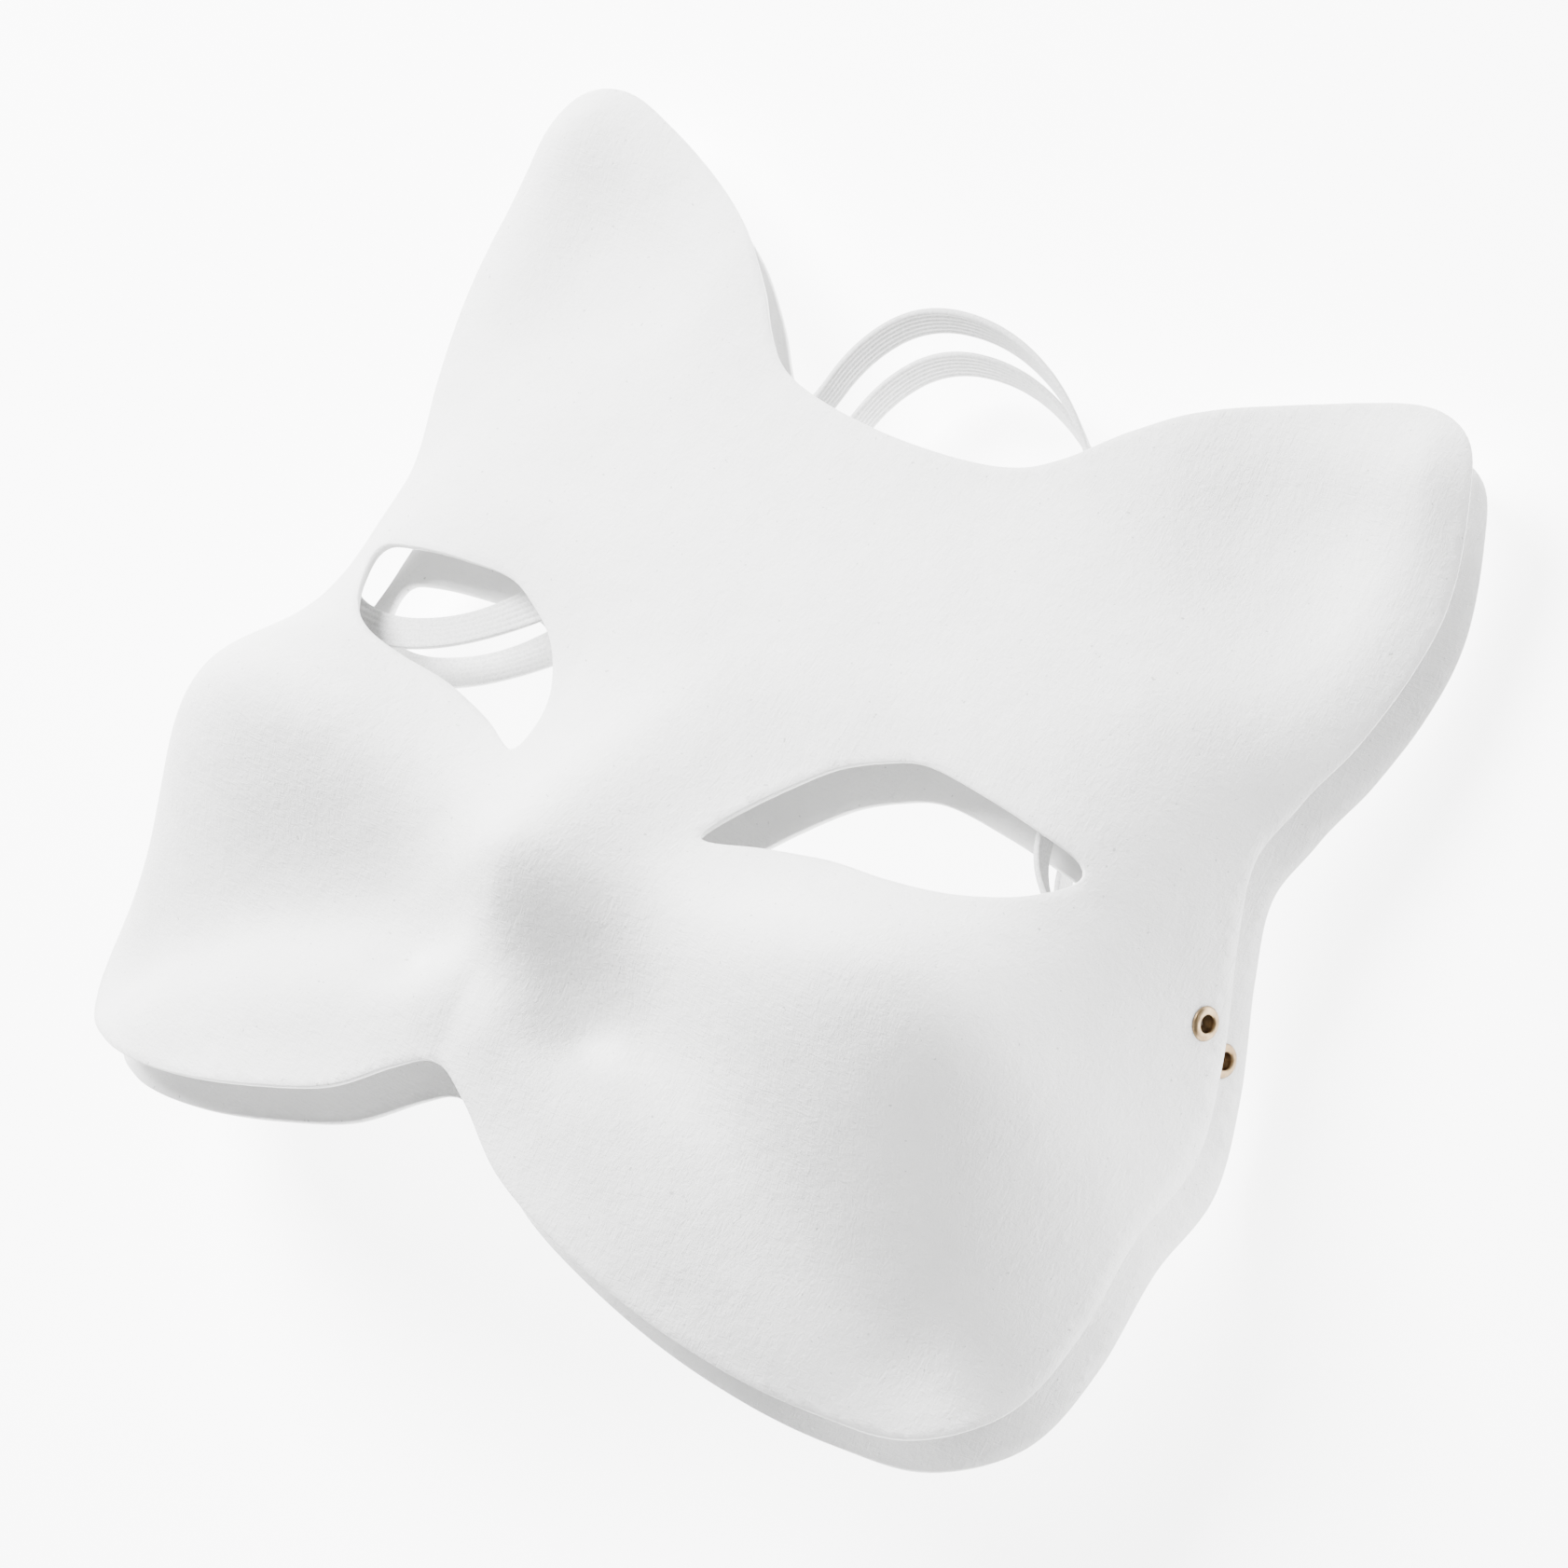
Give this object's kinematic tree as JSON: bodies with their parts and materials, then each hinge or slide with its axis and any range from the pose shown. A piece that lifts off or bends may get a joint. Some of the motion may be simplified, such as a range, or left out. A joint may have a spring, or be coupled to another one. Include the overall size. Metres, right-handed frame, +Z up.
{
  "type": "cat half mask pair",
  "caption": "Nested pair of blank moulded-paper cat half masks with pointed ears, eye holes, brass eyelets and flat white elastic straps.",
  "frame": {"origin": "on the resting surface, centred under both masks' shells and eyelets", "axes": "+X to the viewer's right across the face, +Y from the chin towards the ears, +Z up off the resting surface; the face looks up and is tipped 21 degrees about X"},
  "size_m": [0.1862, 0.176, 0.0838],
  "materials": {
    "pulp": "matte moulded paper pulp, fine fibres",
    "elastic": "flat braided elastic with lengthwise ribs",
    "brass_plate": "satin brass-plated steel"
  },
  "bodies": {
    "rear_mask": {"rear_shell": "pulp", "rear_left_eyelet": "brass_plate", "rear_left_washer": "brass_plate", "rear_left_tab": "elastic", "rear_right_eyelet": "brass_plate", "rear_right_washer": "brass_plate", "rear_right_tab": "elastic"},
    "front_mask": {"front_shell": "pulp", "front_left_eyelet": "brass_plate", "front_left_washer": "brass_plate", "front_left_tab": "elastic", "front_right_eyelet": "brass_plate", "front_right_washer": "brass_plate", "front_right_tab": "elastic"},
    "rear_elastic": {"rear_band": "elastic"},
    "front_elastic": {"front_band": "elastic"}
  },
  "joints": [
    {"name": "front_mask_lift", "type": "slide", "parent": "rear_mask", "child": "front_mask", "axis": [0, 0.3584, 0.9336], "range_m": [0, 0.15]},
    {"name": "rear_elastic_swing", "type": "hinge", "parent": "rear_mask", "child": "rear_elastic", "pos_m": [0, -0.01109, 0.01659], "axis": [-1, 0, 0], "range_deg": [0, 90]},
    {"name": "front_elastic_swing", "type": "hinge", "parent": "front_mask", "child": "front_elastic", "pos_m": [0, -0.00676, 0.02789], "axis": [-1, 0, 0], "range_deg": [0, 55]}
  ],
  "couplings": [
    {"joint": "front_elastic_swing", "follows": "front_mask_lift", "rad_per_m": 6}
  ]
}
